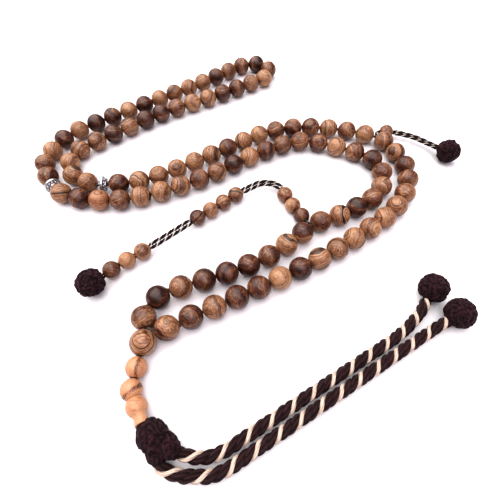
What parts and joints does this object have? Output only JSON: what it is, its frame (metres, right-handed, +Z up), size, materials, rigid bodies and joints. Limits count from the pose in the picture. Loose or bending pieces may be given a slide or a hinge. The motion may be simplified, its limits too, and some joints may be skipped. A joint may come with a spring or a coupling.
{
  "type": "prayer beads",
  "caption": "Closed loop of round wooden prayer beads with metal spacers, a head bead, a two-cord yarn tassel, a string of small counter beads and a marker string.",
  "frame": {"origin": "on the table under the middle of the loop, its head and the tassel's knot together", "axes": "+Z up off the table; +Y along the folded loop's greatest extent, from the tassel towards the far fold; +X to the right seen from the tassel's side"},
  "size_m": [0.1805, 0.195, 0.0102],
  "materials": {
    "figured_wood": "satin, strongly figured light and dark grain",
    "pale_wood": "satin, pale pinkish tan",
    "spacer_metal": "bright engraved metal with darkened hollows",
    "string": "plain dark string",
    "tassel_cord": "three-ply, two dark brown plies and a cream one",
    "thin_cord": "two-ply, one dark ply and one cream",
    "knotted_yarn": "dark purplish-brown knotted yarn"
  },
  "bodies": {
    "loop": {"main_string": "string", "junction_bead": "pale_wood", "inner_beads_14_33": "figured_wood", "far_beads_01_17": "figured_wood", "far_beads_18_34": "figured_wood", "outer_beads_14_33": "figured_wood"},
    "inner_bead_01": {"inner_bead_01": "figured_wood"},
    "inner_bead_02": {"inner_bead_02": "figured_wood"},
    "inner_bead_03": {"inner_bead_03": "figured_wood"},
    "inner_bead_04": {"inner_bead_04": "figured_wood"},
    "inner_bead_05": {"inner_bead_05": "figured_wood"},
    "inner_bead_06": {"inner_bead_06": "figured_wood"},
    "inner_bead_07": {"inner_bead_07": "figured_wood"},
    "inner_bead_08": {"inner_bead_08": "figured_wood"},
    "inner_bead_09": {"inner_bead_09": "figured_wood"},
    "inner_bead_10": {"inner_bead_10": "figured_wood"},
    "inner_bead_11": {"inner_bead_11": "figured_wood"},
    "inner_bead_12": {"inner_bead_12": "figured_wood"},
    "inner_bead_13": {"inner_bead_13": "figured_wood"},
    "outer_bead_01": {"outer_bead_01": "figured_wood"},
    "outer_bead_02": {"outer_bead_02": "figured_wood"},
    "outer_bead_03": {"outer_bead_03": "figured_wood"},
    "outer_bead_04": {"outer_bead_04": "figured_wood"},
    "outer_bead_05": {"outer_bead_05": "figured_wood"},
    "outer_bead_06": {"outer_bead_06": "figured_wood"},
    "outer_bead_07": {"outer_bead_07": "figured_wood"},
    "outer_bead_08": {"outer_bead_08": "figured_wood"},
    "outer_bead_09": {"outer_bead_09": "figured_wood"},
    "outer_bead_10": {"outer_bead_10": "figured_wood"},
    "outer_bead_11": {"outer_bead_11": "figured_wood"},
    "outer_bead_12": {"outer_bead_12": "figured_wood"},
    "outer_bead_13": {"outer_bead_13": "figured_wood"},
    "left_spacer": {"left_spacer": "spacer_metal"},
    "right_spacer": {"right_spacer": "spacer_metal"},
    "head": {"head_string": "string"},
    "head_bead_upper": {"head_bead_upper": "pale_wood"},
    "head_bead_lower": {"head_bead_lower": "pale_wood"},
    "end_bead": {"end_bead": "pale_wood"},
    "tassel_knot": {"tassel_knot": "knotted_yarn"},
    "tassel_back": {"tassel_cord_back": "tassel_cord", "tassel_ball_back": "knotted_yarn"},
    "tassel_front": {"tassel_cord_front": "tassel_cord", "tassel_ball_front": "knotted_yarn"},
    "counter_string": {"counter_cord_a": "thin_cord", "counter_cord_b": "thin_cord", "counter_ball": "knotted_yarn"},
    "counter_bead_01": {"counter_bead_01": "figured_wood"},
    "counter_bead_02": {"counter_bead_02": "figured_wood"},
    "counter_bead_03": {"counter_bead_03": "figured_wood"},
    "counter_bead_04": {"counter_bead_04": "figured_wood"},
    "counter_bead_05": {"counter_bead_05": "figured_wood"},
    "counter_bead_06": {"counter_bead_06": "figured_wood"},
    "counter_bead_07": {"counter_bead_07": "figured_wood"},
    "counter_bead_08": {"counter_bead_08": "figured_wood"},
    "counter_bead_09": {"counter_bead_09": "figured_wood"},
    "counter_bead_10": {"counter_bead_10": "figured_wood"},
    "marker_string": {"marker_cord_a": "thin_cord", "marker_cord_b": "thin_cord", "marker_ball": "knotted_yarn"},
    "marker_bead": {"marker_bead": "figured_wood"}
  },
  "joints": [
    {"name": "inner_bead_01_spin", "type": "hinge", "parent": "loop", "child": "inner_bead_01", "pos_m": [-0.02352, -0.05471, 0.004], "axis": [-0.1593, 0.9816, -0.1055], "continuous": true},
    {"name": "inner_bead_02_spin", "type": "hinge", "parent": "loop", "child": "inner_bead_02", "pos_m": [-0.0199, -0.04741, 0.004], "axis": [0.6969, 0.7172, 0], "continuous": true},
    {"name": "inner_bead_03_spin", "type": "hinge", "parent": "loop", "child": "inner_bead_03", "pos_m": [-0.01271, -0.04358, 0.004], "axis": [0.9158, 0.4017, 0], "continuous": true},
    {"name": "inner_bead_04_spin", "type": "hinge", "parent": "loop", "child": "inner_bead_04", "pos_m": [-0.00502, -0.04088, 0.004], "axis": [0.9425, 0.3342, 0], "continuous": true},
    {"name": "inner_bead_05_spin", "type": "hinge", "parent": "loop", "child": "inner_bead_05", "pos_m": [0.00266, -0.03814, 0.004], "axis": [0.9309, 0.3653, 0], "continuous": true},
    {"name": "inner_bead_06_spin", "type": "hinge", "parent": "loop", "child": "inner_bead_06", "pos_m": [0.01015, -0.03493, 0.004], "axis": [0.9017, 0.4323, 0], "continuous": true},
    {"name": "inner_bead_07_spin", "type": "hinge", "parent": "loop", "child": "inner_bead_07", "pos_m": [0.01734, -0.0311, 0.004], "axis": [0.8421, 0.5394, 0], "continuous": true},
    {"name": "inner_bead_08_spin", "type": "hinge", "parent": "loop", "child": "inner_bead_08", "pos_m": [0.02383, -0.02617, 0.004], "axis": [0.7788, 0.6273, 0], "continuous": true},
    {"name": "inner_bead_09_spin", "type": "hinge", "parent": "loop", "child": "inner_bead_09", "pos_m": [0.03003, -0.02088, 0.004], "axis": [0.7871, 0.6169, 0], "continuous": true},
    {"name": "inner_bead_10_spin", "type": "hinge", "parent": "loop", "child": "inner_bead_10", "pos_m": [0.03728, -0.01563, 0.004], "axis": [0.8724, 0.4887, 0], "continuous": true},
    {"name": "inner_bead_11_spin", "type": "hinge", "parent": "loop", "child": "inner_bead_11", "pos_m": [0.04484, -0.01258, 0.004], "axis": [0.9024, 0.431, 0], "continuous": true},
    {"name": "inner_bead_12_spin", "type": "hinge", "parent": "loop", "child": "inner_bead_12", "pos_m": [0.05196, -0.00862, 0.004], "axis": [0.8562, 0.5167, 0], "continuous": true},
    {"name": "inner_bead_13_spin", "type": "hinge", "parent": "loop", "child": "inner_bead_13", "pos_m": [0.05878, -0.00417, 0.004], "axis": [0.7321, 0.6812, 0], "continuous": true},
    {"name": "outer_bead_01_spin", "type": "hinge", "parent": "loop", "child": "outer_bead_01", "pos_m": [-0.01569, -0.05817, 0.004], "axis": [-0.9747, -0.2115, 0.0727], "continuous": true},
    {"name": "outer_bead_02_spin", "type": "hinge", "parent": "loop", "child": "outer_bead_02", "pos_m": [-0.00843, -0.05446, 0.004], "axis": [-0.8969, -0.4423, 0], "continuous": true},
    {"name": "outer_bead_03_spin", "type": "hinge", "parent": "loop", "child": "outer_bead_03", "pos_m": [-0.00107, -0.05096, 0.004], "axis": [-0.9007, -0.4345, 0], "continuous": true},
    {"name": "outer_bead_04_spin", "type": "hinge", "parent": "loop", "child": "outer_bead_04", "pos_m": [0.00625, -0.04738, 0.004], "axis": [-0.8971, -0.4418, 0], "continuous": true},
    {"name": "outer_bead_05_spin", "type": "hinge", "parent": "loop", "child": "outer_bead_05", "pos_m": [0.01355, -0.04376, 0.004], "axis": [-0.8957, -0.4446, 0], "continuous": true},
    {"name": "outer_bead_06_spin", "type": "hinge", "parent": "loop", "child": "outer_bead_06", "pos_m": [0.02085, -0.04013, 0.004], "axis": [-0.8909, -0.4541, 0], "continuous": true},
    {"name": "outer_bead_07_spin", "type": "hinge", "parent": "loop", "child": "outer_bead_07", "pos_m": [0.02807, -0.03636, 0.004], "axis": [-0.8772, -0.4801, 0], "continuous": true},
    {"name": "outer_bead_08_spin", "type": "hinge", "parent": "loop", "child": "outer_bead_08", "pos_m": [0.03514, -0.03231, 0.004], "axis": [-0.8578, -0.514, 0], "continuous": true},
    {"name": "outer_bead_09_spin", "type": "hinge", "parent": "loop", "child": "outer_bead_09", "pos_m": [0.04205, -0.02798, 0.004], "axis": [-0.8403, -0.5421, 0], "continuous": true},
    {"name": "outer_bead_10_spin", "type": "hinge", "parent": "loop", "child": "outer_bead_10", "pos_m": [0.04884, -0.02347, 0.004], "axis": [-0.8254, -0.5646, 0], "continuous": true},
    {"name": "outer_bead_11_spin", "type": "hinge", "parent": "loop", "child": "outer_bead_11", "pos_m": [0.0555, -0.01878, 0.004], "axis": [-0.8048, -0.5936, 0], "continuous": true},
    {"name": "outer_bead_12_spin", "type": "hinge", "parent": "loop", "child": "outer_bead_12", "pos_m": [0.06196, -0.0138, 0.004], "axis": [-0.749, -0.6625, 0], "continuous": true},
    {"name": "outer_bead_13_spin", "type": "hinge", "parent": "loop", "child": "outer_bead_13", "pos_m": [0.06769, -0.008, 0.004], "axis": [-0.6434, -0.7656, 0], "continuous": true},
    {"name": "left_spacer_spin", "type": "hinge", "parent": "loop", "child": "left_spacer", "pos_m": [-0.06874, 0.00278, 0.004], "axis": [-0.6496, 0.7603, 0], "continuous": true},
    {"name": "right_spacer_spin", "type": "hinge", "parent": "loop", "child": "right_spacer", "pos_m": [-0.04835, 0.0035, 0.004], "axis": [0.9988, -0.0485, 0], "continuous": true},
    {"name": "head_swing", "type": "hinge", "parent": "loop", "child": "head", "pos_m": [-0.02307, -0.06703, 0.0036], "axis": [0, 0, 1], "range_deg": [-10, 4]},
    {"name": "head_bead_upper_spin", "type": "hinge", "parent": "head", "child": "head_bead_upper", "pos_m": [-0.02354, -0.07032, 0.00318], "axis": [-0.1016, -0.9928, -0.0634], "continuous": true},
    {"name": "head_bead_lower_spin", "type": "hinge", "parent": "head", "child": "head_bead_lower", "pos_m": [-0.02392, -0.07686, 0.00321], "axis": [0.1781, -0.9833, 0.0366], "continuous": true},
    {"name": "end_bead_spin", "type": "hinge", "parent": "head", "child": "end_bead", "pos_m": [-0.02156, -0.08148, 0.00364], "axis": [0.4531, -0.8877, 0.0812], "continuous": true},
    {"name": "tassel_swing", "type": "hinge", "parent": "head", "child": "tassel_knot", "pos_m": [-0.01916, -0.08618, 0.00407], "axis": [0, 0, 1], "range_deg": [-12, 3]},
    {"name": "tassel_back_swing", "type": "hinge", "parent": "tassel_knot", "child": "tassel_back", "pos_m": [-0.0115, -0.092, 0.0027], "axis": [0, 0, 1], "range_deg": [0, 3]},
    {"name": "tassel_front_swing", "type": "hinge", "parent": "tassel_knot", "child": "tassel_front", "pos_m": [-0.0144, -0.0953, 0.0027], "axis": [0, 0, 1], "range_deg": [-30, 0]},
    {"name": "counter_swing", "type": "hinge", "parent": "loop", "child": "counter_string", "pos_m": [0.0329, -0.0172, 0.004], "axis": [0, 0, 1], "range_deg": [-6, 8]},
    {"name": "counter_bead_01_spin", "type": "hinge", "parent": "counter_string", "child": "counter_bead_01", "pos_m": [0.0305, -0.01205, 0.0031], "axis": [-0.5067, 0.8614, -0.0338], "continuous": true},
    {"name": "counter_bead_02_spin", "type": "hinge", "parent": "counter_string", "child": "counter_bead_02", "pos_m": [0.0275, -0.00675, 0.003], "axis": [-0.4789, 0.8779, 0], "continuous": true},
    {"name": "counter_bead_03_spin", "type": "hinge", "parent": "counter_string", "child": "counter_bead_03", "pos_m": [0.02475, -0.0012, 0.003], "axis": [-0.4077, 0.9131, 0], "continuous": true},
    {"name": "counter_bead_04_slide", "type": "slide", "parent": "counter_string", "child": "counter_bead_04", "axis": [0.8321, 0.5547, 0], "range_m": [0, 0.0062]},
    {"name": "counter_bead_05_spin", "type": "hinge", "parent": "counter_string", "child": "counter_bead_05", "pos_m": [0.00025, -0.00525, 0.003], "axis": [-0.7071, -0.7071, 0], "continuous": true},
    {"name": "counter_bead_06_spin", "type": "hinge", "parent": "counter_string", "child": "counter_bead_06", "pos_m": [-0.0045, -0.00925, 0.003], "axis": [-0.8192, -0.5735, 0], "continuous": true},
    {"name": "counter_bead_07_slide", "type": "slide", "parent": "counter_string", "child": "counter_bead_07", "axis": [-0.7696, -0.6386, 0], "range_m": [0, 0.0178]},
    {"name": "counter_bead_08_spin", "type": "hinge", "parent": "counter_string", "child": "counter_bead_08", "pos_m": [-0.02813, -0.02853, 0.003], "axis": [-0.7696, -0.6386, 0], "continuous": true},
    {"name": "counter_bead_09_spin", "type": "hinge", "parent": "counter_string", "child": "counter_bead_09", "pos_m": [-0.033, -0.03225, 0.003], "axis": [-0.8192, -0.5735, 0], "continuous": true},
    {"name": "counter_bead_10_spin", "type": "hinge", "parent": "counter_string", "child": "counter_bead_10", "pos_m": [-0.03775, -0.03625, 0.003], "axis": [-0.7071, -0.7071, 0], "continuous": true},
    {"name": "marker_swing", "type": "hinge", "parent": "loop", "child": "marker_string", "pos_m": [0.0672, 0.0332, 0.004], "axis": [0, 0, 1], "range_deg": [-6, 8]},
    {"name": "marker_bead_travel", "type": "hinge", "parent": "marker_string", "child": "marker_bead", "pos_m": [0.072, 0.012, 0.003], "axis": [0, 0, 1], "range_deg": [-38, 0]}
  ]
}
